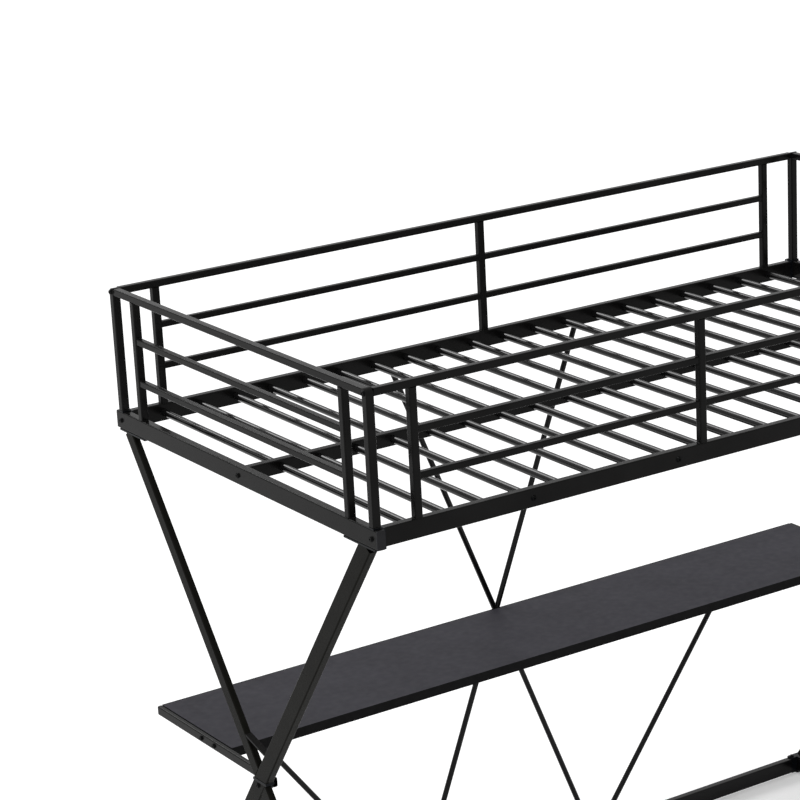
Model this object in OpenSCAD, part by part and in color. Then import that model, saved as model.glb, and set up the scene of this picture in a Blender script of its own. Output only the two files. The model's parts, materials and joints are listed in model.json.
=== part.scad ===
// Metal loft bed with a full-width desk: square-tube guard panels on a slatted
// deck, crossed legs at both ends, a rod-braced back and a ladder at the front right.
// Millimetres, +Z up. The origin is on the floor, under the middle of the outer box.

/* [Bed] */
// Distance between the left and right post axes
bed_length = 1985; // [1700:5:2200]
// Distance between the front and back post axes
bed_width = 1056; // [950:2:1400]
// Height of the deck rails' top face above the floor
deck_height = 1472; // [1300:2:1700]
// Height of the guard's top rail axis above the deck rails
guard_rise = 281; // [240:1:340]

/* [Deck] */
// Width of the deck rails and floor rails
rail_width = 20; // [18:1:26]
// Height of the deck rails and floor rails
rail_height = 41; // [36:1:50]
// Reach of the end rails and their caps beyond the post axes
end_rail_reach = 21; // [18:1:28]
// Length of the insert in a side rail's end
rail_insert = 26; // [20:1:40]
// Number of slats; every fourth one is bolted to the side rails
slat_count = 20; // [12:1:22]
// Diameter of a slat
slat_d = 17; // [12:1:18]
// Distance from a post axis to the first slat
slat_inset = 95; // [80:1:140]
// Depth of the slats' axes below the deck rails' top face
slat_drop = 21; // [18:1:22]
// Depth to which a slat's end enters the side rail
slat_seat = 9; // [5:1:12]
// Depth to which a bolt enters a slat's end
slat_bolt_depth = 24; // [15:1:25]
// Length of the insert in a bolted slat's end
slat_insert = 28; // [26:1:40]
// Width of the centre beam
beam_width = 20; // [16:1:30]
// Height of the centre beam
beam_height = 32; // [30:1:40]
// Drop of the centre beam's top below the rails' top face
beam_drop = 4; // [2:1:8]

/* [Guard] */
// Side of the square post tube
post_size = 19; // [17:1:22]
// Side of the top rails' square tube
top_rail_size = 17; // [14:1:18]
// Side of the uprights' square tube
upright_size = 18; // [14:1:18]
// Side of the middle bars' square tube
bar_size = 15; // [10:1:16]
// Number of middle bars in a panel
bar_count = 2; // [1:1:2]
// Vertical pitch of the middle bars, from the top rail's axis
bar_pitch = 97; // [70:1:105]
// Distance from a post axis to the nearest upright of an end panel
end_upright_inset = 92; // [70:1:140]
// Distance from a post axis to the nearest upright of a long panel
long_upright_inset = 100; // [80:1:160]
// Distance from the right post axis to the front guard's end post
entry_width = 429; // [390:1:520]

/* [Tube walls and corners] */
// Wall of the square and rectangular tubes
tube_wall = 1.2; // [0.8:0.1:2]
// Outer corner radius of the tubes
tube_corner = 3; // [2.2:0.1:4]
// Outer radius of the shoulder between a post and its top rail
shoulder_radius = 15; // [12:1:17]

/* [Legs] */
// Width of a main leg in the plane of the end frame
main_leg_width = 41; // [32:1:50]
// Thickness of a main leg across the end frame
main_leg_depth = 20; // [16:1:20]
// Width of a cross leg in the plane of the end frame
cross_leg_width = 32; // [26:1:38]
// Thickness of a cross leg across the end frame
cross_leg_depth = 16; // [14:1:20]
// Distance from a post axis to a leg's axis at the far end of its longer half
leg_inset = 27; // [20:1:40]
// Length of the sleeve inside a main leg's joint
sleeve_length = 140; // [110:2:200]
// Drop of the joint's bolt below the crossing
joint_bolt_drop = 12; // [11:1:14]
// Length of the joint plates at the crossing
joint_plate_length = 55; // [54:1:90]
// Width of the joint plates
joint_plate_width = 22; // [22:1:30]
// Thickness of each joint plate
joint_plate_thickness = 3; // [2:0.5:5]
// Height of the tie bar between the legs, above the crossing
tie_rise = 80; // [75:1:120]
// Height of the tie bar's section
tie_height = 4; // [3:1:24]
// Width of the tie bar across the end frame
tie_depth = 16; // [8:1:20]
// Slope of the tie bar, down towards the front
tie_slope = 16; // [0:1:18]

/* [Corner brackets and feet] */
// Length of an upper bracket's block, between the end rail and the side rail
bracket_block = 8; // [6:1:50]
// Length of a lower bracket's block along the stretcher
foot_block = 38; // [34:1:50]
// Length of a bracket's tongue along the end rail
bracket_tongue = 117; // [85:1:140]
// Thickness of a bracket's tongue
tongue_thickness = 4; // [4:0.5:9]
// Side of the base plate under a post
base_plate_size = 22; // [22:1:26]
// Thickness of the base plate
base_plate_thickness = 3; // [2:0.5:5]
// Diameter of a foot glide
glide_d = 18; // [14:1:20]
// Height of a foot glide
glide_height = 7; // [6:1:20]
// Thickness of a tube's end cap
cap_thickness = 3; // [2:0.5:6]

/* [Back brace] */
// Diameter of the brace rods
rod_d = 14; // [10:0.5:16]
// Half the distance between the brace rods at the stretcher
brace_half_spread = 270; // [200:2:400]
// Distance from the left post axis to a desk rod's top
desk_rod_top = 184; // [150:2:240]
// Distance from a desk rod's foot to the nearest brace rod's foot
desk_rod_gap = 42; // [40:1:120]
// Width of the plate that holds a desk rod under the desk
rod_plate_width = 30; // [24:1:40]
// Reach of that plate under the desk
rod_plate_reach = 40; // [30:1:60]
// Thickness of that plate
rod_plate_thickness = 3; // [2:0.5:5]

/* [Desk] */
// Height of the desk's top face
desk_height = 744; // [720:1:770]
// Height of the desk's top face above the crossing of the legs
desk_rise = 3; // [2:1:6]
// Thickness of the desk board
board_thickness = 24; // [18:1:30]
// Depth of the desk board, front to back
board_depth = 324; // [300:2:420]
// Distance from a post axis to the desk's outer end
desk_end_inset = 18; // [14:1:30]
// Width of a desk arm
arm_width = 12; // [10:1:16]
// Height of a desk arm
arm_height = 22; // [18:1:24]
// Height of a desk arm's middle above the joint's bolt
arm_rise = 3; // [0:1:3]
// Reach of a desk arm in front of the leg crossing
arm_reach = 8; // [6:1:20]
// Distance from the desk's front edge to an arm's first bolt
arm_bolt_inset = 62; // [40:1:90]
// Distance between an arm's two bolts
arm_bolt_pitch = 58; // [40:1:120]
// Depth to which a bolt or screw enters the desk board
board_bolt_depth = 18; // [12:1:20]
// Length of the spacer between an arm and the leg
spacer_length = 30; // [24:1:40]
// Thickness of the steel rim at the desk's back edge
rim_thickness = 4; // [2:0.5:6]

/* [Ladder] */
// Outer width of the ladder
ladder_width = 366; // [340:2:376]
// Side of the ladder's square side rails
ladder_rail_size = 25; // [22:1:30]
// Diameter of a rung
rung_d = 22; // [18:1:24]
// Number of rungs
rung_count = 5; // [4:1:5]
// Height of the first rung above the floor
first_rung = 250; // [200:5:300]
// Distance between rungs
rung_pitch = 260; // [220:5:270]

/* [Bolts] */
// Diameter of the bolts
bolt_d = 6; // [5:0.5:7]
// Diameter of a bolt's head
bolt_head_d = 13; // [12:0.5:16]
// Height of a bolt's head
bolt_head_h = 4; // [3:0.5:5]
// Width of a bolt's hexagon socket
bolt_socket = 4; // [3:0.5:5]

/* [Clearances] */
// Radial clearance round a bolt's shank
bolt_clearance = 0.4; // [0.2:0.1:0.6]
// Radial clearance round a slat in its hole
slat_clearance = 0.2; // [0.1:0.1:0.4]
// Gap between parts that are bolted side by side
fit_gap = 0.3; // [0.1:0.1:0.5]

/* [Hidden] */

metal = "#26262a";
dark_metal = "#1c1c1f";
bracket_metal = "#30343a";
laminate = "#47464b";
plastic = "#141416";
bolt_metal = "#3a3a3d";

half_length = bed_length / 2;
half_width = bed_width / 2;
deck_bottom = deck_height - rail_height;
deck_mid = deck_height - rail_height / 2;
guard_axis = deck_height + guard_rise;
guard_top = guard_axis + post_size / 2;
post_foot = deck_height + base_plate_thickness;
slat_axis = deck_height - slat_drop;
slat_pitch = (bed_length - 2 * slat_inset) / (slat_count - 1);
slat_length = bed_width - rail_width + 2 * slat_seat;
beam_axis = deck_height - beam_drop - beam_height / 2;
beam_length = bed_length - rail_width;
side_rail_length = bed_length - rail_width - 2 * bracket_block;
end_rail_length = bed_width + 2 * (end_rail_reach - cap_thickness);

floor_rail_mid = glide_height + rail_height / 2;
floor_rail_top = glide_height + rail_height;
leg_top = deck_bottom - tongue_thickness;
leg_foot = floor_rail_top + tongue_thickness;
// The legs cross at the desk, and the longer of their halves reaches the leg inset
crossing = desk_height - desk_rise;
// The two plates of a joint lie a gap apart, half of it out of each plate
joint_plate_body = joint_plate_thickness - fit_gap / 2;
leg_rise = max(leg_top - crossing, crossing - leg_foot);
leg_run = half_width - leg_inset;
leg_length = sqrt(leg_run * leg_run + leg_rise * leg_rise);
leg_angle = atan2(leg_run, leg_rise);
leg_half_cut = main_leg_width / 2 / cos(leg_angle);
upper_leg_inset = half_width - (leg_top - crossing) * tan(leg_angle);
lower_leg_inset = half_width - (crossing - leg_foot) * tan(leg_angle);
joint_bolt_z = crossing - joint_bolt_drop;
joint_bolt_y = joint_bolt_drop * tan(leg_angle);
board_bottom = desk_height - board_thickness;
// A leg's outer face lies in the outer face of the deck rails
main_leg_x = (main_leg_depth - rail_width) / 2;
cross_leg_x = (cross_leg_depth - rail_width) / 2;

front_end_post_x = half_length - entry_width;
first_upright_x = -half_length + long_upright_inset;
front_upright_x = [first_upright_x, (first_upright_x + front_end_post_x) / 2, front_end_post_x];
back_upright_x = [first_upright_x, 0, -first_upright_x];
long_rail_span = bed_length - post_size;

stretcher_length = bed_length + rail_width - 2 * foot_block;
stretcher_bolt_x = foot_block - rail_width / 2 - bolt_head_d / 2 - 1;
stretcher_bolt_grip = 18;
brace_foot = floor_rail_top;
brace_cross = board_bottom + board_thickness / 2;
brace_angle = atan2(brace_half_spread, brace_cross - brace_foot);
desk_rod_x = half_length - desk_rod_top;
desk_rod_foot_x = brace_half_spread + desk_rod_gap;
desk_rod_rise = board_bottom - rod_plate_thickness - brace_foot;
desk_rod_run = desk_rod_x - desk_rod_foot_x;
desk_rod_angle = atan2(desk_rod_run, desk_rod_rise);

desk_back = half_width - rod_d / 2 - fit_gap;
board_back = desk_back - rim_thickness;
board_front = board_back - board_depth;
arm_outer = half_length - desk_end_inset;
arm_mid_x = arm_outer - arm_width / 2;
board_half = arm_outer - arm_width - fit_gap;
arm_mid_z = joint_bolt_z + arm_rise;
arm_bottom = arm_mid_z - arm_height / 2;
arm_front = -arm_reach;
arm_length = desk_back - arm_front;
arm_bolt_y = [board_front + arm_bolt_inset, board_front + arm_bolt_inset + arm_bolt_pitch];
spacer_outer = half_length + rail_width / 2 - main_leg_depth;
spacer_thickness = spacer_outer - arm_outer;
spacer_top = crossing - joint_plate_thickness - fit_gap;
spacer_height = spacer_top - arm_bottom;
rod_screw_y = board_back - rod_plate_reach / 2;

ladder_x = half_length - entry_width / 2;
ladder_rail_x = (ladder_width - ladder_rail_size) / 2;
ladder_y = -half_width - rail_width / 2 - ladder_rail_size / 2;
ladder_top = guard_top;
ladder_foot = glide_height;
rung_length = ladder_width - 2 * ladder_rail_size;

bolt_hole_d = bolt_d + 2 * bolt_clearance;
bolted_slats = [for (i = [0 : slat_count - 1]) if (is_bolted(i)) i];

front_reach = rail_width / 2 + ladder_rail_size + bolt_head_h;
back_reach = rail_width / 2 + bolt_head_h;
y_shift = (front_reach - back_reach) / 2;

// ---------- shared shapes ----------

module rounded_section(a, b, r) {
  square([a - 2 * r, b], center = true);
  square([a, b - 2 * r], center = true);
  for (sx = [-1, 1])
    for (sy = [-1, 1])
      translate([sx * (a / 2 - r), sy * (b / 2 - r)])
        circle(r = r, $fn = 32);
}

module tube_section(a, b) {
  difference() {
    rounded_section(a, b, tube_corner);
    square([a - 2 * tube_wall, b - 2 * tube_wall], center = true);
  }
}

// Tubes centred on their length, a and b across them in axis order
module tube_x(length, a, b) {
  rotate([90, 0, 90])
    linear_extrude(length, center = true)
      tube_section(a, b);
}

module tube_y(length, a, b) {
  rotate([90, 0, 0])
    linear_extrude(length, center = true)
      tube_section(a, b);
}

module tube_z(length, a, b) {
  linear_extrude(length, center = true)
    tube_section(a, b);
}

module box(x, y, z) {
  cube([x, y, z], center = true);
}

function is_bolted(i) = i % 4 == 3 && i <= slat_count - 3;

// A bolt along +X from its head's seat at the origin, the head on the -X side
module bolt(grip) {
  difference() {
    union() {
      rotate([0, -90, 0])
        cylinder(d1 = bolt_head_d, d2 = bolt_head_d * 0.7, h = bolt_head_h, $fn = 48);
      rotate([0, 90, 0])
        cylinder(d = bolt_d, h = grip, $fn = 32);
    }
    translate([-bolt_head_h - 1, 0, 0])
      rotate([0, 90, 0])
        cylinder(d = bolt_socket / cos(30), h = bolt_head_h * 0.6 + 1, $fn = 6);
  }
}

module hole_x(length) {
  rotate([0, 90, 0])
    cylinder(d = bolt_hole_d, h = length, center = true, $fn = 32);
}

module hole_y(length) {
  rotate([90, 0, 0])
    cylinder(d = bolt_hole_d, h = length, center = true, $fn = 32);
}

module hole_z(length) {
  cylinder(d = bolt_hole_d, h = length, center = true, $fn = 32);
}

module both_ends() {
  children();
  mirror([1, 0, 0])
    children();
}

module both_sides() {
  children();
  mirror([0, 1, 0])
    children();
}

module right_end() {
  mirror([1, 0, 0])
    children();
}

module place() {
  translate([0, y_shift, 0])
    children();
}

// ---------- end panels, drawn at the left end ----------

// Outline of a post's closed top, with its outer corner rounded
module shoulder_outline(size, radius) {
  translate([size / 2 - radius, 0])
    intersection() {
      circle(r = radius, $fn = 96);
      translate([-radius, 0])
        square([2 * radius, radius]);
    }
  translate([-size / 2, 0])
    square([size - radius, radius]);
}

module shoulder(size, radius) {
  rotate([90, 0, 90])
    linear_extrude(size, center = true)
      shoulder_outline(size, radius);
}

// side is -1 for the front post and 1 for the back post
// bolted says whether a long top rail ends at it
module post(side, bolted) {
  shoulder_z = guard_top - shoulder_radius;
  inner = post_size - 2 * tube_wall;
  color(metal)
    translate([-half_length, side * half_width, 0])
      difference() {
        union() {
          translate([0, 0, (post_foot + shoulder_z) / 2])
            tube_z(shoulder_z - post_foot, post_size, post_size);
          translate([0, 0, shoulder_z])
            mirror([0, side < 0 ? 1 : 0, 0])
              difference() {
                intersection() {
                  shoulder(post_size, shoulder_radius);
                  linear_extrude(3 * post_size, center = true)
                    rounded_section(post_size, post_size, tube_corner);
                }
                shoulder(inner, shoulder_radius - tube_wall);
              }
        }
        if (bolted)
          translate([0, 0, guard_axis])
            hole_x(3 * post_size);
      }
}

module end_top_rail() {
  color(metal)
    translate([-half_length, 0, guard_axis])
      tube_y(bed_width - post_size, top_rail_size, top_rail_size);
}

module end_uprights() {
  low = deck_height;
  high = guard_axis - top_rail_size / 2;
  color(metal)
    both_sides()
      translate([-half_length, half_width - end_upright_inset, (low + high) / 2])
        tube_z(high - low, upright_size, upright_size);
}

module end_guard_bars() {
  span = bed_width - 2 * end_upright_inset - upright_size;
  color(metal)
    for (i = [1 : bar_count])
      translate([-half_length, 0, guard_axis - i * bar_pitch])
        tube_y(span, bar_size, bar_size);
}

module end_deck_rail() {
  color(metal)
    difference() {
      translate([-half_length, 0, deck_mid])
        tube_y(end_rail_length, rail_width, rail_height);
      translate([-half_length, 0, beam_axis])
        hole_x(3 * rail_width);
      both_sides()
        translate([-half_length, half_width, deck_mid])
          hole_x(3 * rail_width);
    }
}

// ---------- long guard panels ----------

module long_top_rail(side, from_x, to_x) {
  color(metal)
    translate([(from_x + to_x) / 2, side * half_width, guard_axis])
      tube_x(to_x - from_x, top_rail_size, top_rail_size);
}

module long_upright(side, x) {
  low = deck_height;
  high = guard_axis - top_rail_size / 2;
  color(metal)
    translate([x, side * half_width, (low + high) / 2])
      tube_z(high - low, upright_size, upright_size);
}

// Middle bars between two uprights
module long_bars(side, from_x, to_x) {
  span = to_x - from_x - upright_size;
  color(metal)
    for (i = [1 : bar_count])
      translate([(from_x + to_x) / 2, side * half_width, guard_axis - i * bar_pitch])
        tube_x(span, bar_size, bar_size);
}

module back_top_rail() {
  long_top_rail(1, -long_rail_span / 2, long_rail_span / 2);
}

module back_uprights() {
  for (x = back_upright_x)
    long_upright(1, x);
}

module back_guard_bars() {
  for (i = [0 : len(back_upright_x) - 2])
    long_bars(1, back_upright_x[i], back_upright_x[i + 1]);
}

module front_top_rail() {
  long_top_rail(-1, -long_rail_span / 2, front_end_post_x - upright_size / 2);
}

module front_uprights() {
  for (i = [0, 1])
    long_upright(-1, front_upright_x[i]);
}

module front_guard_bars() {
  for (i = [0 : len(front_upright_x) - 2])
    long_bars(-1, front_upright_x[i], front_upright_x[i + 1]);
}

// The post that closes the front guard beside the ladder
module guard_end_post() {
  high = guard_axis + top_rail_size / 2 - cap_thickness;
  color(metal)
    translate([front_end_post_x, -half_width, (deck_height + high) / 2])
      tube_z(high - deck_height, upright_size, upright_size);
}

// ---------- deck ----------

function slat_x(i) = -half_length + slat_inset + i * slat_pitch;

// Tube with a bored insert in each end
module side_rail_tube() {
  difference() {
    rotate([90, 0, 90])
      linear_extrude(side_rail_length, center = true)
        rounded_section(rail_width, rail_height, tube_corner);
    box(side_rail_length - 2 * rail_insert, rail_width - 2 * tube_wall, rail_height - 2 * tube_wall);
    both_ends()
      translate([-side_rail_length / 2, 0, 0])
        hole_x(2 * (rail_insert + 1));
  }
}

// side is -1 for the front rail and 1 for the back rail; the inner wall has a
// hole for each slat and the outer wall one for each bolt
module side_rail(side) {
  color(metal)
    difference() {
      translate([0, side * half_width, deck_mid])
        side_rail_tube();
      for (i = [0 : slat_count - 1])
        translate([slat_x(i), side * (half_width - rail_width / 2), slat_axis])
          slat_hole(rail_width);
      for (i = bolted_slats)
        translate([slat_x(i), side * (half_width + rail_width / 2), slat_axis])
          hole_y(rail_width);
      for (s = side < 0 ? [-1, 1] : [])
        translate([ladder_x + s * ladder_rail_x, -half_width - rail_width / 2, deck_mid])
          hole_y(rail_width);
    }
}

module slat_hole(depth) {
  rotate([90, 0, 0])
    cylinder(d = slat_d + 2 * slat_clearance, h = depth, center = true, $fn = 48);
}

// A bolted slat has a bored insert in each end
module slat(bolted) {
  bore_length = bolted ? slat_length - 2 * slat_insert : 2 * slat_length;
  difference() {
    rotate([90, 0, 0])
      cylinder(d = slat_d, h = slat_length, center = true, $fn = 48);
    rotate([90, 0, 0])
      cylinder(d = slat_d - 2 * tube_wall, h = bore_length, center = true, $fn = 48);
    if (bolted)
      both_sides()
        translate([0, slat_length / 2, 0])
          hole_y(2 * (slat_insert + 1));
  }
}

module slats() {
  color(metal)
    for (i = [0 : slat_count - 1])
      translate([slat_x(i), 0, slat_axis])
        slat(is_bolted(i));
}

module centre_beam() {
  color(metal)
    difference() {
      translate([0, 0, beam_axis])
        tube_x(beam_length, beam_width, beam_height);
      for (i = [0 : slat_count - 1])
        translate([slat_x(i), 0, slat_axis])
          slat_hole(2 * beam_width);
    }
}

// ---------- corners ----------

// Reach of a tongue that carries a leg at an inset from the post axis
function tongue_reach(inset) = max(bracket_tongue, inset + leg_half_cut + rail_width / 2);

// Block at x = from along the side rail and a tongue under the end rail, drawn
// at the left back
module corner_bracket(from, block, tongue) {
  low = -rail_height / 2 - tongue_thickness;
  color(bracket_metal)
    difference() {
      union() {
        translate([from, -rail_width / 2, low])
          cube([block, rail_width, rail_height + tongue_thickness]);
        translate([-rail_width / 2, -rail_width / 2, low])
          cube([rail_width / 2 + from + block, rail_width, tongue_thickness]);
        translate([-rail_width / 2, rail_width / 2 - tongue, low])
          cube([rail_width, tongue, tongue_thickness]);
      }
      hole_x(2 * (from + block + rail_width));
    }
}

module upper_corner_brackets() {
  both_ends()
    both_sides()
      translate([-half_length, half_width, deck_mid])
        corner_bracket(rail_width / 2, bracket_block, tongue_reach(upper_leg_inset));
}

// The same brackets upside down, drilled for the stretcher's bolts
module lower_corner_brackets() {
  both_ends()
    both_sides()
      difference() {
        translate([-half_length, half_width, floor_rail_mid])
          mirror([0, 0, 1])
            corner_bracket(-rail_width / 2, foot_block, tongue_reach(lower_leg_inset));
        translate([-half_length + stretcher_bolt_x, half_width, leg_foot])
          hole_z(2 * (stretcher_bolt_grip + 1));
      }
}

module post_base_plates() {
  color(dark_metal)
    both_ends()
      both_sides()
        translate([-half_length, half_width, deck_height + base_plate_thickness / 2])
          box(base_plate_size, base_plate_size, base_plate_thickness);
}

// ---------- legs, drawn at the left end ----------

// lean is 1 for the main leg, front top to back foot, and -1 for the cross leg
module leg_axis(lean, x) {
  translate([-half_length + x, 0, crossing])
    rotate([lean * leg_angle, 0, 0])
      children();
}

module slab(low, high) {
  translate([-half_length, 0, (low + high) / 2])
    box(8 * rail_width, 2 * bed_width, high - low);
}

module main_leg_solid() {
  leg_axis(1, main_leg_x)
    box(main_leg_depth, main_leg_width, 2 * leg_length);
}

module cross_leg_solid() {
  leg_axis(-1, cross_leg_x)
    box(cross_leg_depth, cross_leg_width, 2 * leg_length);
}

module main_leg(low, high) {
  color(metal)
    difference() {
      intersection() {
        leg_axis(1, main_leg_x)
          tube_z(2 * leg_length, main_leg_depth, main_leg_width);
        slab(low, high);
      }
      joint_bolt_hole();
    }
}

// side is 1 for the half above the crossing and -1 for the half below it
module cross_leg(side, low, high) {
  color(metal)
    difference() {
      intersection() {
        leg_axis(-1, cross_leg_x)
          tube_z(2 * leg_length, cross_leg_depth, cross_leg_width);
        slab(low, high);
        translate([-half_length, side * bed_width / 2, crossing])
          box(8 * rail_width, bed_width, 2 * leg_rise);
      }
      main_leg_solid();
    }
}

module upper_main_leg() {
  main_leg(crossing + joint_plate_thickness, leg_top);
}

module lower_main_leg() {
  main_leg(leg_foot, crossing - joint_plate_thickness);
}

module upper_cross_leg() {
  cross_leg(1, crossing + joint_plate_thickness, leg_top);
}

module lower_cross_leg() {
  cross_leg(-1, leg_foot, crossing - joint_plate_thickness);
}

module joint_sleeve(gap) {
  leg_axis(1, main_leg_x)
    box(
      main_leg_depth - 2 * tube_wall - 2 * gap,
      main_leg_width - 2 * tube_wall - 2 * gap,
      sleeve_length
    );
}

module joint_bolt_hole() {
  translate([-half_length, joint_bolt_y, joint_bolt_z])
    hole_x(6 * rail_width);
}

module leg_joint_sleeves() {
  color(dark_metal)
    both_ends()
      difference() {
        joint_sleeve(fit_gap);
        joint_bolt_hole();
      }
}

// One plate on the upper legs and one on the lower legs, face to face
module leg_joint_plates() {
  color(bracket_metal)
    both_ends()
      for (side = [-1, 1])
        difference() {
          translate([-half_length + main_leg_x, 0, crossing + side * (fit_gap + joint_plate_body) / 2])
            box(joint_plate_width, joint_plate_length, joint_plate_body);
          joint_sleeve(0);
        }
}

// The space between the two legs' axes above the crossing
module between_legs() {
  rise = leg_top - crossing;
  run = rise * tan(leg_angle);
  translate([-half_length, 0, crossing])
    rotate([90, 0, 90])
      linear_extrude(4 * rail_width, center = true)
        polygon([[0, 0], [run, rise], [-run, rise]]);
}

module leg_tie_bars() {
  color(metal)
    both_ends()
      difference() {
        intersection() {
          translate([-half_length + cross_leg_x, 0, crossing + tie_rise])
            rotate([tie_slope, 0, 0])
              box(tie_depth, bed_width, tie_height);
          between_legs();
        }
        main_leg_solid();
        cross_leg_solid();
      }
}

// ---------- floor frame ----------

module floor_rails() {
  color(metal)
    both_ends()
      translate([-half_length, 0, floor_rail_mid])
        tube_y(bed_width - rail_width, rail_width, rail_height);
}

module back_stretcher() {
  color(metal)
    translate([0, half_width, floor_rail_mid])
      tube_x(stretcher_length, rail_width, rail_height);
}

module foot_glides() {
  color(plastic)
    union() {
      both_ends()
        both_sides()
          translate([-half_length, half_width, 0])
            glide();
      for (s = [-1, 1])
        translate([ladder_x + s * ladder_rail_x, ladder_y, 0])
          ladder_glide();
    }
}

// A glide under a plate that closes the ladder rail's foot
module ladder_glide() {
  glide();
  translate([0, 0, glide_height - cap_thickness])
    end_cap(ladder_rail_size, ladder_rail_size);
}

module glide() {
  cylinder(d1 = glide_d - 3, d2 = glide_d, h = glide_height / 3, $fn = 48);
  translate([0, 0, glide_height / 3])
    cylinder(d = glide_d, h = 2 * glide_height / 3, $fn = 48);
}

module tube_end_caps() {
  color(plastic) {
    translate([front_end_post_x, -half_width, guard_axis + top_rail_size / 2 - cap_thickness])
      end_cap(upright_size, upright_size);
    for (s = [-1, 1])
      translate([ladder_x + s * ladder_rail_x, ladder_y, ladder_top - cap_thickness])
        end_cap(ladder_rail_size, ladder_rail_size);
    both_ends()
      both_sides()
        translate([-half_length, half_width + end_rail_reach, deck_mid])
          rotate([90, 0, 0])
            end_cap(rail_width, rail_height);
  }
}

module end_cap(a, b) {
  linear_extrude(cap_thickness)
    rounded_section(a, b, tube_corner);
}

// ---------- back brace ----------

// A rod in the back plane through x and z, leaning by an angle from the
// vertical and cut level at the stretcher and at its top
module back_rod(x, z, angle, high) {
  intersection() {
    translate([x, half_width, z])
      rotate([0, angle, 0])
        cylinder(d = rod_d, h = 2 * deck_height / cos(angle), center = true, $fn = 48);
    translate([0, half_width, (brace_foot + high) / 2])
      box(2 * bed_length, 4 * rod_d, high - brace_foot);
  }
}

module brace_bolt_hole() {
  translate([0, half_width, brace_cross])
    hole_y(6 * rod_d);
}

module long_brace_rod() {
  color(metal)
    difference() {
      back_rod(0, brace_cross, -brace_angle, deck_bottom);
      brace_bolt_hole();
    }
}

// Two rods that meet the long one at the desk
module short_brace_rods() {
  color(metal)
    difference() {
      back_rod(0, brace_cross, brace_angle, deck_bottom);
      back_rod(0, brace_cross, -brace_angle, deck_bottom);
      brace_bolt_hole();
    }
}

module desk_rods() {
  color(metal)
    both_ends()
      back_rod(-desk_rod_foot_x, brace_foot, -desk_rod_angle, board_bottom - rod_plate_thickness);
}

// Plates on the desk rods, under the desk's back edge
module desk_rod_plates() {
  length = rod_plate_reach + half_width + rod_d / 2 - board_back;
  color(dark_metal)
    both_ends()
      difference() {
        translate([
          -desk_rod_x,
          half_width + rod_d / 2 - length / 2,
          board_bottom - rod_plate_thickness / 2
        ])
          box(rod_plate_width, length, rod_plate_thickness);
        translate([-desk_rod_x, rod_screw_y, board_bottom])
          hole_z(4 * rod_plate_thickness);
      }
}

// ---------- desk ----------

module arm_bolt_holes(depth) {
  for (y = arm_bolt_y)
    translate([-arm_outer, y, arm_mid_z])
      hole_x(2 * depth);
}

module desk_board() {
  color(laminate)
    difference() {
      translate([-board_half, board_front, board_bottom])
        cube([2 * board_half, board_depth, board_thickness]);
      both_ends() {
        arm_bolt_holes(arm_width + board_bolt_depth + 1);
        translate([-desk_rod_x, rod_screw_y, board_bottom])
          hole_z(2 * (board_bolt_depth + 1));
      }
      translate([0, board_back, brace_cross])
        hole_y(2 * (board_bolt_depth + 1));
    }
}

module desk_back_rim() {
  color(metal)
    difference() {
      translate([-board_half, board_back, board_bottom])
        cube([2 * board_half, rim_thickness, board_thickness]);
      brace_bolt_hole();
    }
}

module desk_arm() {
  color(metal)
    difference() {
      translate([-arm_mid_x, arm_front + arm_length / 2, arm_mid_z])
        tube_y(arm_length, arm_width, arm_height);
      arm_bolt_holes(2 * arm_width);
      joint_bolt_hole();
    }
}

module desk_arm_spacers() {
  color(dark_metal)
    both_ends()
      difference() {
        translate([-spacer_outer, arm_front, arm_bottom])
          cube([spacer_thickness, spacer_length, spacer_height]);
        joint_bolt_hole();
      }
}

// ---------- ladder ----------

// side is -1 for the left rail and 1 for the right rail
module ladder_rail(side) {
  length = ladder_top - cap_thickness - ladder_foot;
  color(metal)
    difference() {
      translate([ladder_x + side * ladder_rail_x, ladder_y, ladder_foot + length / 2])
        tube_z(length, ladder_rail_size, ladder_rail_size);
      translate([ladder_x + side * ladder_rail_x, ladder_y, deck_mid])
        hole_y(2 * ladder_rail_size);
    }
}

module ladder_rungs() {
  color(metal)
    for (i = [0 : rung_count - 1])
      translate([ladder_x, ladder_y, first_rung + i * rung_pitch])
        rotate([0, 90, 0])
          difference() {
            cylinder(d = rung_d, h = rung_length, center = true, $fn = 64);
            cylinder(d = rung_d - 2 * tube_wall, h = 2 * rung_length, center = true, $fn = 64);
          }
}

// ---------- bolts ----------

// Through the posts into the long top rails
module guard_bolts() {
  color(bolt_metal)
    for (corner = [[-1, -1], [-1, 1], [1, 1]])
      mirror([corner[0] > 0 ? 1 : 0, 0, 0])
        translate([-half_length - post_size / 2, corner[1] * half_width, guard_axis])
          bolt(2 * post_size);
}

// Through the end rails and corner brackets into the side rails, and through
// the end rails into the centre beam
module deck_corner_bolts() {
  color(bolt_metal)
    both_ends() {
      for (side = [-1, 1])
        translate([-half_length - rail_width / 2, side * half_width, deck_mid])
          bolt(rail_width + bracket_block + rail_width);
      translate([-half_length - rail_width / 2, 0, beam_axis])
        bolt(2 * rail_width);
    }
}

// Through the side rails into every fourth slat
module side_rail_bolts() {
  color(bolt_metal)
    both_sides()
      for (i = bolted_slats)
        translate([slat_x(i), -half_width - rail_width / 2, slat_axis])
          rotate([0, 0, 90])
            bolt(rail_width - slat_seat + slat_bolt_depth);
}

// Arms to board, brace crossing to the desk's back edge, rod plates to board
module desk_bolts() {
  color(bolt_metal) {
    both_ends() {
      for (y = arm_bolt_y)
        translate([-arm_outer, y, arm_mid_z])
          bolt(arm_width + fit_gap + board_bolt_depth);
      translate([-desk_rod_x, rod_screw_y, board_bottom - rod_plate_thickness])
        rotate([0, -90, 0])
          bolt(rod_plate_thickness + board_bolt_depth);
    }
    translate([0, half_width + rod_d / 2, brace_cross])
      rotate([0, 0, -90])
        bolt(rod_d + fit_gap + rim_thickness + board_bolt_depth);
  }
}

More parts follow.
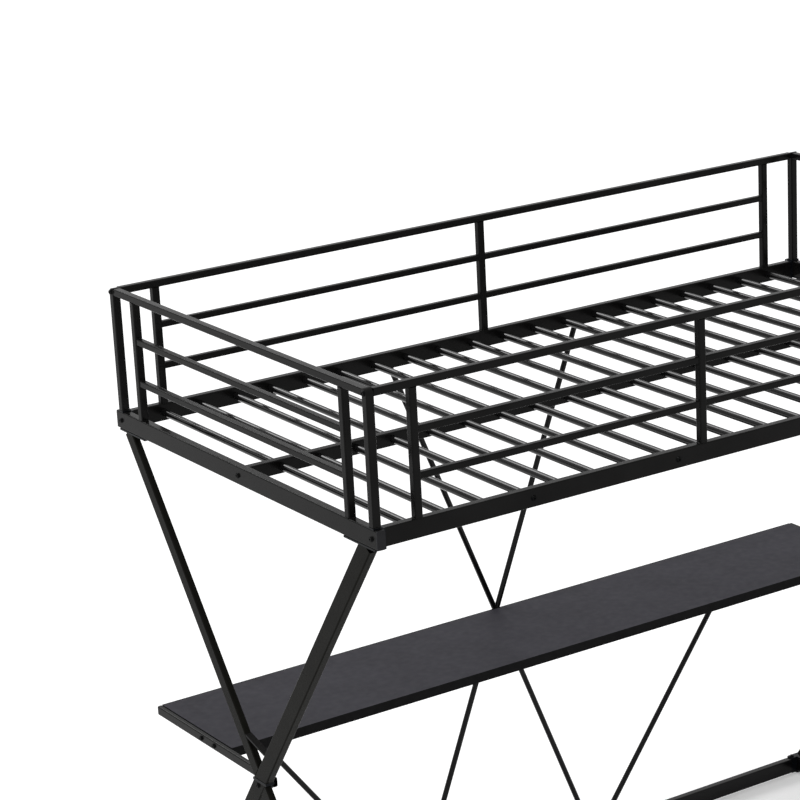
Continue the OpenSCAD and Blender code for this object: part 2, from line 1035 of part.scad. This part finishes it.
// Through the lower main leg, its sleeve, the spacer and the desk arm
module leg_joint_bolts() {
  color(bolt_metal)
    both_ends()
      translate([-half_length - rail_width / 2, joint_bolt_y, joint_bolt_z])
        bolt(main_leg_depth + spacer_thickness + arm_width);
}

// Through the lower corner brackets, at the back into the stretcher
module stretcher_bolts() {
  color(bolt_metal)
    both_ends()
      for (side = [-1, 1]) {
        translate([-half_length - rail_width / 2, side * half_width, floor_rail_mid])
          bolt(side < 0 ? foot_block : foot_block + rail_width / 2);
        translate([-half_length + stretcher_bolt_x, side * half_width, leg_foot])
          rotate([0, 90, 0])
            bolt(stretcher_bolt_grip);
      }
}

// Through the ladder's side rails into the front side rail
module ladder_bolts() {
  color(bolt_metal)
    for (s = [-1, 1])
      translate([ladder_x + s * ladder_rail_x, ladder_y - ladder_rail_size / 2, deck_mid])
        rotate([0, 0, 90])
          bolt(ladder_rail_size + rail_width / 3);
}

// ---------- nodes ----------

place() post(-1, true);  // left_front_post
place() post(1, true);  // left_back_post
place() right_end() post(-1, false);  // right_front_post
place() right_end() post(1, true);  // right_back_post
place() end_top_rail();  // left_top_rail
place() right_end() end_top_rail();  // right_top_rail
place() end_uprights();  // left_uprights
place() right_end() end_uprights();  // right_uprights
place() end_guard_bars();  // left_guard_bars
place() right_end() end_guard_bars();  // right_guard_bars
place() end_deck_rail();  // left_deck_rail
place() right_end() end_deck_rail();  // right_deck_rail
place() back_top_rail();
place() back_uprights();
place() back_guard_bars();
place() front_top_rail();
place() front_uprights();
place() front_guard_bars();
place() guard_end_post();
place() side_rail(-1);  // front_side_rail
place() side_rail(1);  // back_side_rail
place() centre_beam();
place() slats();
place() upper_corner_brackets();
place() post_base_plates();
place() upper_main_leg();  // left_upper_main_leg
place() upper_cross_leg();  // left_upper_cross_leg
place() lower_main_leg();  // left_lower_main_leg
place() lower_cross_leg();  // left_lower_cross_leg
place() right_end() upper_main_leg();  // right_upper_main_leg
place() right_end() upper_cross_leg();  // right_upper_cross_leg
place() right_end() lower_main_leg();  // right_lower_main_leg
place() right_end() lower_cross_leg();  // right_lower_cross_leg
place() leg_joint_sleeves();
place() leg_joint_plates();
place() leg_tie_bars();
place() floor_rails();
place() back_stretcher();
place() lower_corner_brackets();
place() foot_glides();
place() tube_end_caps();
place() long_brace_rod();
place() short_brace_rods();
place() desk_rods();
place() desk_rod_plates();
place() desk_board();
place() desk_back_rim();
place() desk_arm();  // left_desk_arm
place() right_end() desk_arm();  // right_desk_arm
place() desk_arm_spacers();
place() ladder_rail(-1);  // ladder_left_rail
place() ladder_rail(1);  // ladder_right_rail
place() ladder_rungs();
place() guard_bolts();
place() deck_corner_bolts();
place() side_rail_bolts();
place() desk_bolts();
place() leg_joint_bolts();
place() stretcher_bolts();
place() ladder_bolts();
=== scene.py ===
"""Metal loft bed with a desk: finishes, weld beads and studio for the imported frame.

Metres, in the frame's own axes: +X right, +Y back, +Z up, origin on the floor.
"""
import json
import math

import bmesh
import bpy
from mathutils import Matrix, Vector, noise


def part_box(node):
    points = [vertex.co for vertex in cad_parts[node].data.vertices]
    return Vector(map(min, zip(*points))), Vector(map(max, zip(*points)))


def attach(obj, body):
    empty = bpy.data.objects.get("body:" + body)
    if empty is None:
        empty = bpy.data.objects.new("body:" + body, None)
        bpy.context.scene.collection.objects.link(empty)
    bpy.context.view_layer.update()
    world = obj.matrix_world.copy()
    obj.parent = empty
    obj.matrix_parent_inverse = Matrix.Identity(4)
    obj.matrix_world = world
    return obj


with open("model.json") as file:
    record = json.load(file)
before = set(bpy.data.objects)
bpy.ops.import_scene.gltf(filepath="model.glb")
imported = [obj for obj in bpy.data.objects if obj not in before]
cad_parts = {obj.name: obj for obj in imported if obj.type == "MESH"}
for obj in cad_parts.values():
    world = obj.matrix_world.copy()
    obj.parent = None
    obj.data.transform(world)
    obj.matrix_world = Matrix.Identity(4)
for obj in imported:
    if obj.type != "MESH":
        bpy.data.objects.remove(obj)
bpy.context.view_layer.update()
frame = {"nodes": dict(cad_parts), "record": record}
NODES = frame["nodes"]
X, Y, Z = 0, 1, 2

# ---------- studio ----------

# The view, in degrees. Azimuth 0 looks along +Y, and below 0 the camera stands to the left
# of that; elevation is how far it looks down; roll turns it about its line of sight.
VIEW_AZIMUTH = -33.75
VIEW_ELEVATION = 17.73
VIEW_ROLL = -2.56
CAMERA_PLACE = (-3.8028, -5.0910, 3.3616)
CAMERA_REACH = 100.0

# Lens and sensor width in millimetres, and the lens shift in widths of the picture
LENS = 129.26
SENSOR = 36.0
SHIFT = (-0.0938, 0.05)

# Each lamp's direction of light, strength and width in degrees. The key lamp is at the
# left, the top one overhead, and the back one makes the light lines along the slats.
LAMPS = {
    "key": ((0.75, 0.05, -0.66), 0.6, 50.0),
    "top": ((0.05, 0.05, -1.0), 1.2, 14.0),
    "back": ((-0.03, -0.74, -0.66), 1.0, 26.0),
}

WHITE = (1.0, 1.0, 1.0, 1.0)
# Strength of the white world where it lights things rather than being seen
WORLD_FILL = 0.3
# Half the floor's side, its paint, and the strength of its glow where it is seen
FLOOR_HALF = 30.0
FLOOR_PAINT = (0.86, 0.86, 0.86, 1.0)
FLOOR_GLOW = 0.35


def turn(azimuth, elevation, roll):
    """Camera rotation that looks along an azimuth and down by an elevation, then rolls."""
    a = math.radians(azimuth)
    e = math.radians(elevation)
    ahead = Vector((-math.sin(a) * math.cos(e), math.cos(a) * math.cos(e), -math.sin(e)))
    upright = ahead.to_track_quat("-Z", "Y").to_matrix()
    return upright @ Matrix.Rotation(math.radians(roll), 3, "Z")


def make_camera():
    """The scene's camera, at the photograph's view."""
    data = bpy.data.cameras.new("camera")
    data.lens = LENS
    data.sensor_width = SENSOR
    data.shift_x, data.shift_y = SHIFT
    data.clip_end = CAMERA_REACH
    camera = bpy.data.objects.new("camera", data)
    rotation = turn(VIEW_AZIMUTH, VIEW_ELEVATION, VIEW_ROLL).to_4x4()
    camera.matrix_world = Matrix.Translation(CAMERA_PLACE) @ rotation
    bpy.context.scene.collection.objects.link(camera)
    bpy.context.scene.camera = camera


def make_lamp(name, direction, strength, width):
    """A broad white lamp that shines along a direction."""
    data = bpy.data.lights.new(name, "SUN")
    data.energy = strength
    data.angle = math.radians(width)
    lamp = bpy.data.objects.new(name, data)
    lamp.rotation_mode = "QUATERNION"
    lamp.rotation_quaternion = Vector(direction).to_track_quat("-Z", "Y")
    bpy.context.scene.collection.objects.link(lamp)


def new_nodes(tree_owner):
    """An emptied node tree and a shorthand that adds a node of a type."""
    tree_owner.use_nodes = True
    tree = tree_owner.node_tree
    tree.nodes.clear()
    return tree, tree.nodes.new


def either(tree, one, other):
    """1 where either of two values, each 0 or 1, is 1."""
    larger = tree.nodes.new("ShaderNodeMath")
    larger.operation = "MAXIMUM"
    tree.links.new(one, larger.inputs[0])
    tree.links.new(other, larger.inputs[1])
    return larger.outputs[0]


def background_rays(tree):
    """1 where a ray shows the backdrop itself: to the camera, in gloss or through glass."""
    path = tree.nodes.new("ShaderNodeLightPath")
    opaque = either(tree, path.outputs["Is Camera Ray"], path.outputs["Is Glossy Ray"])
    return either(tree, opaque, path.outputs["Is Transmission Ray"])


def make_world():
    """A white world that lights the bed only softly."""
    world = bpy.data.worlds.new("studio")
    tree, add = new_nodes(world)
    fill = add("ShaderNodeBackground")
    fill.inputs["Color"].default_value = WHITE
    fill.inputs["Strength"].default_value = WORLD_FILL
    backdrop = add("ShaderNodeBackground")
    backdrop.inputs["Color"].default_value = WHITE
    mix = add("ShaderNodeMixShader")
    out = add("ShaderNodeOutputWorld")
    tree.links.new(background_rays(tree), mix.inputs[0])
    tree.links.new(fill.outputs[0], mix.inputs[1])
    tree.links.new(backdrop.outputs[0], mix.inputs[2])
    tree.links.new(mix.outputs[0], out.inputs["Surface"])
    bpy.context.scene.world = world


def floor_finish():
    """White floor that glows a little where it is seen, so only the shadow shows."""
    material = bpy.data.materials.new("floor_white")
    tree, add = new_nodes(material)
    paint = add("ShaderNodeBsdfDiffuse")
    paint.inputs["Color"].default_value = FLOOR_PAINT
    glow = add("ShaderNodeEmission")
    strength = add("ShaderNodeMath")
    strength.operation = "MULTIPLY"
    strength.inputs[1].default_value = FLOOR_GLOW
    both = add("ShaderNodeAddShader")
    out = add("ShaderNodeOutputMaterial")
    tree.links.new(background_rays(tree), strength.inputs[0])
    tree.links.new(strength.outputs[0], glow.inputs["Strength"])
    tree.links.new(paint.outputs[0], both.inputs[0])
    tree.links.new(glow.outputs[0], both.inputs[1])
    tree.links.new(both.outputs[0], out.inputs["Surface"])
    return material


def make_floor():
    """A plain square floor under the bed, which isn't part of it."""
    mesh = bpy.data.meshes.new("floor")
    signs = [(-1, -1), (1, -1), (1, 1), (-1, 1)]
    corners = [(FLOOR_HALF * x, FLOOR_HALF * y, 0.0) for x, y in signs]
    mesh.from_pydata(corners, [], [(0, 1, 2, 3)])
    mesh.materials.append(floor_finish())
    floor = bpy.data.objects.new("floor", mesh)
    bpy.context.scene.collection.objects.link(floor)


# ---------- finishes ----------

# A noise texture's values lie mostly between these two
NOISE_LOW = 0.3
NOISE_HIGH = 0.7

# Noise detail of the colour clouds, of the streaks that vary the roughness, and of the fine
# relief. The streaks' scale is a number of times the clouds', and the relief's noise has a
# roughness of its own.
CLOUD_DETAIL = 4.0
STREAK_DETAIL = 2.0
STREAK_RATIO = 6.0
PEEL_DETAIL = 3.0
PEEL_ROUGHNESS = 0.6


def grain(tree, place, scale, detail, roughness=0.5):
    """Noise over a place in space, at a scale per metre."""
    texture = tree.nodes.new("ShaderNodeTexNoise")
    texture.inputs["Scale"].default_value = scale
    texture.inputs["Detail"].default_value = detail
    texture.inputs["Roughness"].default_value = roughness
    tree.links.new(place, texture.inputs["Vector"])
    return texture.outputs[0]


def shade_between(tree, noise_value, dark, light):
    """A colour from dark to light, by a noise's value."""
    ramp = tree.nodes.new("ShaderNodeValToRGB")
    ramp.color_ramp.elements[0].position = NOISE_LOW
    ramp.color_ramp.elements[0].color = (*dark, 1.0)
    ramp.color_ramp.elements[1].position = NOISE_HIGH
    ramp.color_ramp.elements[1].color = (*light, 1.0)
    tree.links.new(noise_value, ramp.inputs[0])
    return ramp.outputs[0]


def number_between(tree, noise_value, low, high):
    """A number from low to high, by a noise's value."""
    scaled = tree.nodes.new("ShaderNodeMapRange")
    scaled.inputs["From Min"].default_value = NOISE_LOW
    scaled.inputs["From Max"].default_value = NOISE_HIGH
    scaled.inputs["To Min"].default_value = low
    scaled.inputs["To Max"].default_value = high
    tree.links.new(noise_value, scaled.inputs["Value"])
    return scaled.outputs[0]


def band_sides(tree, normal, colour, band):
    """The colour on level faces, and the band's darker one on the upright edges."""
    parts = tree.nodes.new("ShaderNodeSeparateXYZ")
    tree.links.new(normal, parts.inputs[0])
    level = tree.nodes.new("ShaderNodeMath")
    level.operation = "ABSOLUTE"
    tree.links.new(parts.outputs["Z"], level.inputs[0])
    mix = tree.nodes.new("ShaderNodeMix")
    mix.data_type = "RGBA"
    mix.inputs["A"].default_value = (*band, 1.0)
    tree.links.new(level.outputs[0], mix.inputs["Factor"])
    tree.links.new(colour, mix.inputs["B"])
    return mix.outputs["Result"]


def finish(name, dark, light, rough, gloss, mottle, peel, relief, band=None):
    """A coated surface.

    dark and light bound its colour, rough has its lowest and highest roughness, and gloss
    is its specular level. mottle and peel are the scales, per metre, of its colour clouds
    and its fine relief, and relief is the depth of that relief in metres. band is the
    colour of its upright edges, where that differs.
    """
    material = bpy.data.materials.new(name)
    tree, add = new_nodes(material)
    coordinates = add("ShaderNodeTexCoord")
    place = coordinates.outputs["Object"]
    shader = add("ShaderNodeBsdfPrincipled")
    out = add("ShaderNodeOutputMaterial")
    shader.inputs["Specular IOR Level"].default_value = gloss
    clouds = grain(tree, place, mottle, CLOUD_DETAIL)
    colour = shade_between(tree, clouds, dark, light)
    if band:
        colour = band_sides(tree, coordinates.outputs["Normal"], colour, band)
    tree.links.new(colour, shader.inputs["Base Color"])
    streaks = grain(tree, place, STREAK_RATIO * mottle, STREAK_DETAIL)
    tree.links.new(number_between(tree, streaks, *rough), shader.inputs["Roughness"])
    bump = add("ShaderNodeBump")
    bump.inputs["Strength"].default_value = 1.0
    bump.inputs["Distance"].default_value = relief
    fine = grain(tree, place, peel, PEEL_DETAIL, PEEL_ROUGHNESS)
    tree.links.new(fine, bump.inputs["Height"])
    tree.links.new(bump.outputs[0], shader.inputs["Normal"])
    tree.links.new(shader.outputs[0], out.inputs["Surface"])
    return material


# One finish for each of the record's material slots
FINISHES = {
    "frame_steel": finish(
        "powder_coat",
        dark=(0.0048, 0.0046, 0.0045),
        light=(0.0084, 0.0081, 0.0080),
        rough=(0.18, 0.26),
        gloss=0.065,
        mottle=14.0,
        peel=900.0,
        relief=0.000014,
    ),
    "bracket_steel": finish(
        "bracket_coat",
        dark=(0.0050, 0.0058, 0.0078),
        light=(0.0085, 0.0098, 0.0125),
        rough=(0.20, 0.28),
        gloss=0.075,
        mottle=22.0,
        peel=900.0,
        relief=0.00002,
    ),
    "desk_laminate": finish(
        "desk_laminate",
        dark=(0.0298, 0.0287, 0.0352),
        light=(0.0368, 0.0356, 0.0436),
        rough=(0.62, 0.72),
        gloss=0.10,
        mottle=9.0,
        peel=1600.0,
        relief=0.00002,
        band=(0.0016, 0.0016, 0.0018),
    ),
    "black_plastic": finish(
        "black_plastic",
        dark=(0.0160, 0.0160, 0.0178),
        light=(0.0215, 0.0215, 0.0240),
        rough=(0.45, 0.57),
        gloss=0.10,
        mottle=40.0,
        peel=1400.0,
        relief=0.00003,
    ),
    "bolt_steel": finish(
        "bolt_black",
        dark=(0.0020, 0.0020, 0.0022),
        light=(0.0040, 0.0040, 0.0043),
        rough=(0.14, 0.22),
        gloss=0.045,
        mottle=120.0,
        peel=2200.0,
        relief=0.00001,
    ),
}

# Coats of frame steel that look different: legs with painted shade, glossier slats, and
# braces with painted light
# Less gloss than the frame's coat darkens the legs, as painted shade for the shade under the
# deck; the lighter colour is painted light that lifts their shaded sides
LEG_PAINTED_SHADE_COAT = finish(
    "leg_painted_shade_coat",
    dark=(0.0060, 0.0058, 0.0047),
    light=(0.0092, 0.0089, 0.0073),
    rough=(0.24, 0.32),
    gloss=0.03,
    mottle=14.0,
    peel=900.0,
    relief=0.000012,
)
SLAT_COAT = finish(
    "slat_coat",
    dark=(0.0048, 0.0046, 0.0048),
    light=(0.0084, 0.0081, 0.0084),
    rough=(0.07, 0.12),
    gloss=0.18,
    mottle=14.0,
    peel=900.0,
    relief=0.000008,
)
# Glossier, which gives the rods their light lines, and a little lighter than the frame's
# coat, as painted light that makes up for the floor's shadow on the low stretcher and rails
BRACE_GLOSS_AND_PAINTED_LIGHT_COAT = finish(
    "brace_gloss_and_painted_light_coat",
    dark=(0.0052, 0.0051, 0.0053),
    light=(0.0090, 0.0088, 0.0092),
    rough=(0.12, 0.18),
    gloss=0.13,
    mottle=14.0,
    peel=900.0,
    relief=0.000012,
)
BRACES = ("long_brace_rod", "short_brace_rods", "desk_rods", "back_stretcher", "floor_rails")


def coat_of(part):
    """A part's finish: its slot's, or the legs' coat with painted shade, the slats' coat, or
    the braces' coat with painted light.
    """
    # The legs' coat holds painted shade, and the braces' coat painted light
    if part["node"].endswith("_leg"):
        return LEG_PAINTED_SHADE_COAT
    if part["node"] in BRACES:
        return BRACE_GLOSS_AND_PAINTED_LIGHT_COAT
    if part["node"] == "slats":
        return SLAT_COAT
    return FINISHES[part["material_slot"]]


def dress_frame():
    """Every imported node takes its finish."""
    for part in frame["record"]["subparts"]:
        mesh = NODES[part["node"]].data
        mesh.materials.clear()
        mesh.materials.append(coat_of(part))


# ---------- weld beads ----------

# A bead's radius, the distance between its rings, and the points in a ring
BEAD = 0.0012
BEAD_STEP = 0.0009
BEAD_SIDES = 8

# Length of a bead's ripples, and their depth as a share of its radius
RIPPLE = 0.0021
RIPPLE_DEPTH = 0.10

# How uneven a bead is, as a share of its radius, and the scale of that per metre
UNEVEN = 0.12
UNEVEN_SCALE = 300.0

# An open bead tapers over this many rings, as if its tip were this many past its end
TAPER = 3.0
TIP = 0.15

# Outer corner radius of the square tubes: a bead ends in the corner or just before it
CORNER = 0.003
# Straight pieces in a bead round a tube
ROUND_PIECES = 72

# Points this close are one point, and points this near a height are at it
SAME_POINT = 1e-6
SAME_HEIGHT = 1e-5
# Solids are sorted by their lowest corners, to this many decimals of a metre
SORT_DECIMALS = 4

END_UPRIGHTS = ("left_uprights", "right_uprights")
LONG_UPRIGHTS = ("back_uprights", "front_uprights")
# The guard bars and the axis that they run along
GUARD_BARS = {
    "left_guard_bars": Y,
    "right_guard_bars": Y,
    "back_guard_bars": X,
    "front_guard_bars": X,
}
POSTS = ("left_front_post", "left_back_post", "right_front_post", "right_back_post")
END_TOP_RAILS = ("left_top_rail", "right_top_rail")


def bead_path(points, closed):
    """Points along a polyline, a small step apart."""
    stops = points + points[:1] if closed else points
    path = []
    for start, end in zip(stops, stops[1:]):
        count = max(1, round((end - start).length / BEAD_STEP))
        path += [start.lerp(end, i / count) for i in range(count)]
    return path if closed else path + [stops[-1]]


def bead_radius(centre, i, total, closed):
    """A bead's radius at its ring i: rippled, uneven, and tapered at an open bead's ends."""
    wave = 1.0 + RIPPLE_DEPTH * math.sin(math.tau * i * BEAD_STEP / RIPPLE)
    wave += UNEVEN * noise.noise(centre * UNEVEN_SCALE)
    if closed:
        return BEAD * wave
    from_end = min(i, total - 1 - i)
    return BEAD * wave * min(1.0, math.sqrt((from_end + TIP) / TAPER))


def bead_ring(mesh, centre, along, radius):
    """A ring of points round a centre, at right angles to a direction."""
    side = along.orthogonal().normalized()
    other = along.cross(side)
    ring = []
    for k in range(BEAD_SIDES):
        angle = math.tau * k / BEAD_SIDES
        offset = side * math.cos(angle) + other * math.sin(angle)
        ring.append(mesh.verts.new(centre + offset * radius))
    return ring


def lay_bead(mesh, points, closed=False):
    """Adds a rippled bead along a polyline to a bmesh; an open bead tapers at its ends."""
    path = bead_path([Vector(p) for p in points], closed)
    total = len(path)
    rings = []
    for i, centre in enumerate(path):
        after = path[(i + 1) % total] if closed or i + 1 < total else centre
        before = path[i - 1] if closed or i > 0 else centre
        along = (after - before).normalized()
        rings.append(bead_ring(mesh, centre, along, bead_radius(centre, i, total, closed)))
    followers = rings[1:] + rings[:1] if closed else rings[1:]
    for ring, following in zip(rings, followers):
        for k in range(BEAD_SIDES):
            n = (k + 1) % BEAD_SIDES
            mesh.faces.new((ring[k], ring[n], following[n], following[k]))
    if not closed:
        mesh.faces.new(reversed(rings[0]))
        mesh.faces.new(rings[-1])


def across(axis):
    """The two axes across one."""
    return [a for a in (X, Y, Z) if a != axis]


def all_round(axis):
    """The four sides of a tube along an axis, each as (axis, sign)."""
    return [(a, s) for a in across(axis) for s in (-1, 1)]


def half_width(box, axis):
    """Half the width of a square or round tube along an axis, from its box."""
    side = X if axis == Z else Z
    return (box[1][side] - box[0][side]) / 2.0


def end_centre(box, axis, high):
    """Middle of a box's face at its low or high end along an axis."""
    centre = (box[0] + box[1]) / 2.0
    centre[axis] = box[1][axis] if high else box[0][axis]
    return centre


def square_joint(mesh, box, axis, high, sides):
    """Beads on the (axis, sign) sides of a square tube, at its low or high end."""
    centre = end_centre(box, axis, high)
    half = half_width(box, axis)
    for face_axis, sign in sides:
        run = [a for a in across(axis) if a != face_axis][0]
        ends = []
        for end in (-1, 1):
            point = list(centre)
            point[face_axis] += sign * half
            point[run] += end * (half - CORNER / 2.0)
            ends.append(point)
        lay_bead(mesh, ends)


def round_joint(mesh, box, axis, high):
    """A bead round a round tube, at its low or high end."""
    centre = end_centre(box, axis, high)
    radius = half_width(box, axis)
    first, second = across(axis)
    points = []
    for i in range(ROUND_PIECES):
        angle = math.tau * i / ROUND_PIECES
        point = list(centre)
        point[first] += radius * math.cos(angle)
        point[second] += radius * math.sin(angle)
        points.append(point)
    lay_bead(mesh, points, closed=True)


def add_piece(name, mesh, slot):
    """Turns a bmesh into a piece of the bed, with a slot's finish."""
    data = bpy.data.meshes.new(name)
    mesh.normal_update()
    mesh.to_mesh(data)
    mesh.free()
    for face in data.polygons:
        face.use_smooth = True
    data.materials.append(FINISHES[slot])
    piece = bpy.data.objects.new(name, data)
    bpy.context.scene.collection.objects.link(piece)
    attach(piece, "root")


def joined_points(first, seen):
    """Every point of the solid that a vertex is in; its vertices are added to seen."""
    seen.add(first)
    queue = [first]
    points = []
    while queue:
        here = queue.pop()
        points.append(here.co.copy())
        for edge in here.link_edges:
            there = edge.other_vert(here)
            if there not in seen:
                seen.add(there)
                queue.append(there)
    return points


def solid_boxes(node):
    """The boxes of a node's separate solids, as (lowest, highest) corners, in order."""
    mesh = bmesh.new()
    mesh.from_mesh(NODES[node].data)
    bmesh.ops.remove_doubles(mesh, verts=mesh.verts, dist=SAME_POINT)
    seen = set()
    boxes = []
    for vert in mesh.verts:
        if vert not in seen:
            points = joined_points(vert, seen)
            lowest = Vector([min(p[a] for p in points) for a in (X, Y, Z)])
            highest = Vector([max(p[a] for p in points) for a in (X, Y, Z)])
            boxes.append((lowest, highest))
    mesh.free()
    return sorted(boxes, key=lambda box: [round(c, SORT_DECIMALS) for c in box[0]])


def weld_guards():
    """Uprights to rails and bars to uprights, on all four sides of the bed.

    At its top, an upright of the two long sides is welded only on its left and right.
    """
    mesh = bmesh.new()
    for node in END_UPRIGHTS + LONG_UPRIGHTS:
        top_sides = [(X, -1), (X, 1)] if node in LONG_UPRIGHTS else all_round(Z)
        for box in solid_boxes(node):
            square_joint(mesh, box, Z, False, all_round(Z))
            square_joint(mesh, box, Z, True, top_sides)
    for box in solid_boxes("guard_end_post"):
        square_joint(mesh, box, Z, False, all_round(Z))
    for node, axis in GUARD_BARS.items():
        for box in solid_boxes(node):
            for high in (False, True):
                square_joint(mesh, box, axis, high, all_round(axis))
    add_piece("guard_weld_beads", mesh, "frame_steel")


def weld_posts():
    """Posts to their base plates, and the end rails under the posts' shoulders."""
    mesh = bmesh.new()
    for node in POSTS:
        square_joint(mesh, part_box(node), Z, False, all_round(Z))
    for node in END_TOP_RAILS:
        for high in (False, True):
            square_joint(mesh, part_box(node), Y, high, [(Z, -1)])
    add_piece("post_weld_beads", mesh, "frame_steel")


def weld_ladder():
    """Rungs to the ladder's rails."""
    mesh = bmesh.new()
    for box in solid_boxes("ladder_rungs"):
        for high in (False, True):
            round_joint(mesh, box, X, high)
    add_piece("ladder_weld_beads", mesh, "frame_steel")


def slice_ends(node, height):
    """Lowest and highest Y of a node's corners at a height."""
    corners = [v.co for v in NODES[node].data.vertices if abs(v.co.z - height) < SAME_HEIGHT]
    return min(c.y for c in corners), max(c.y for c in corners)


def weld_legs():
    """Legs to the brackets' tongues, on the two faces that lean."""
    mesh = bmesh.new()
    for side in ("left", "right"):
        for half in ("upper", "lower"):
            for kind in ("main", "cross"):
                node = f"{side}_{half}_{kind}_leg"
                low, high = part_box(node)
                height = high.z if half == "upper" else low.z
                for y in slice_ends(node, height):
                    ends = [(low.x + CORNER, y, height), (high.x - CORNER, y, height)]
                    lay_bead(mesh, ends)
    add_piece("leg_weld_beads", mesh, "frame_steel")


make_camera()
make_world()
make_floor()
for lamp_name, lamp_settings in LAMPS.items():
    make_lamp(lamp_name, *lamp_settings)
dress_frame()
weld_guards()
weld_posts()
weld_ladder()
weld_legs()
bpy.context.scene.view_settings.view_transform = "Standard"
